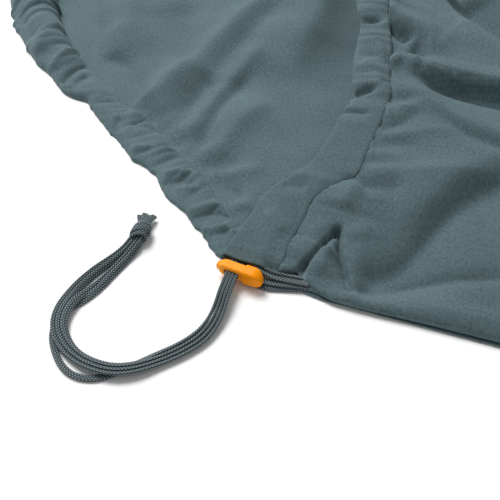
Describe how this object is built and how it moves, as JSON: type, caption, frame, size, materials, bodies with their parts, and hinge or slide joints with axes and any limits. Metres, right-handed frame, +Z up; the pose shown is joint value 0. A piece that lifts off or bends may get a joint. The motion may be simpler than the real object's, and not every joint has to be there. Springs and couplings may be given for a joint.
{
  "type": "camp quilt",
  "caption": "Hooded camp quilt in thin woven cloth with gathered casings round hood and chest and a flat drawcord tail in a push-button cord lock.",
  "frame": {"origin": "on the surface that the quilt lies on, under the middle of the quilt without its cord tail", "axes": "+X from the hood to the foot, +Y across the quilt away from the cord lock, +Z up"},
  "size_m": [2.1999, 0.8431, 0.0738],
  "materials": {
    "quilt_cloth": "plain woven brushed polyester, soft matt",
    "braided_cord": "flat herringbone braid, matt",
    "sewing_thread": "spun polyester thread",
    "lock_barrel_plastic": "moulded, lightly textured",
    "lock_button_plastic": "moulded, satin",
    "spring_steel": "drawn wire"
  },
  "bodies": {
    "quilt": {"back_panel": "quilt_cloth", "hood_panel": "quilt_cloth", "top_panel": "quilt_cloth", "foot_panel": "quilt_cloth", "hood_casing": "quilt_cloth", "top_casing": "quilt_cloth", "side_seam_near": "quilt_cloth", "side_seam_far": "quilt_cloth", "hood_drawcord_1": "braided_cord", "hood_drawcord_2": "braided_cord", "top_drawcord_1": "braided_cord", "top_drawcord_2": "braided_cord", "hood_anchor_bartack": "sewing_thread", "top_anchor_bartack": "sewing_thread", "exit_bartack": "sewing_thread", "tail_strand_1": "braided_cord", "tail_strand_2": "braided_cord", "tail_strand_3": "braided_cord", "tail_strand_4": "braided_cord", "tail_knot": "braided_cord"},
    "lock": {"lock_barrel": "lock_barrel_plastic", "lock_spring": "spring_steel"},
    "button": {"lock_button": "lock_button_plastic"}
  },
  "joints": [
    {"name": "lock_slide", "type": "slide", "parent": "quilt", "child": "lock", "axis": [0, -1, 0], "range_m": [0, 0.008]},
    {"name": "button_press", "type": "slide", "parent": "lock", "child": "button", "axis": [-0.9863, 0.165, 0], "range_m": [0, 0.002], "stiffness_N_per_m": 1500, "springref_m": -0.002, "deforming": ["lock_spring"]}
  ]
}
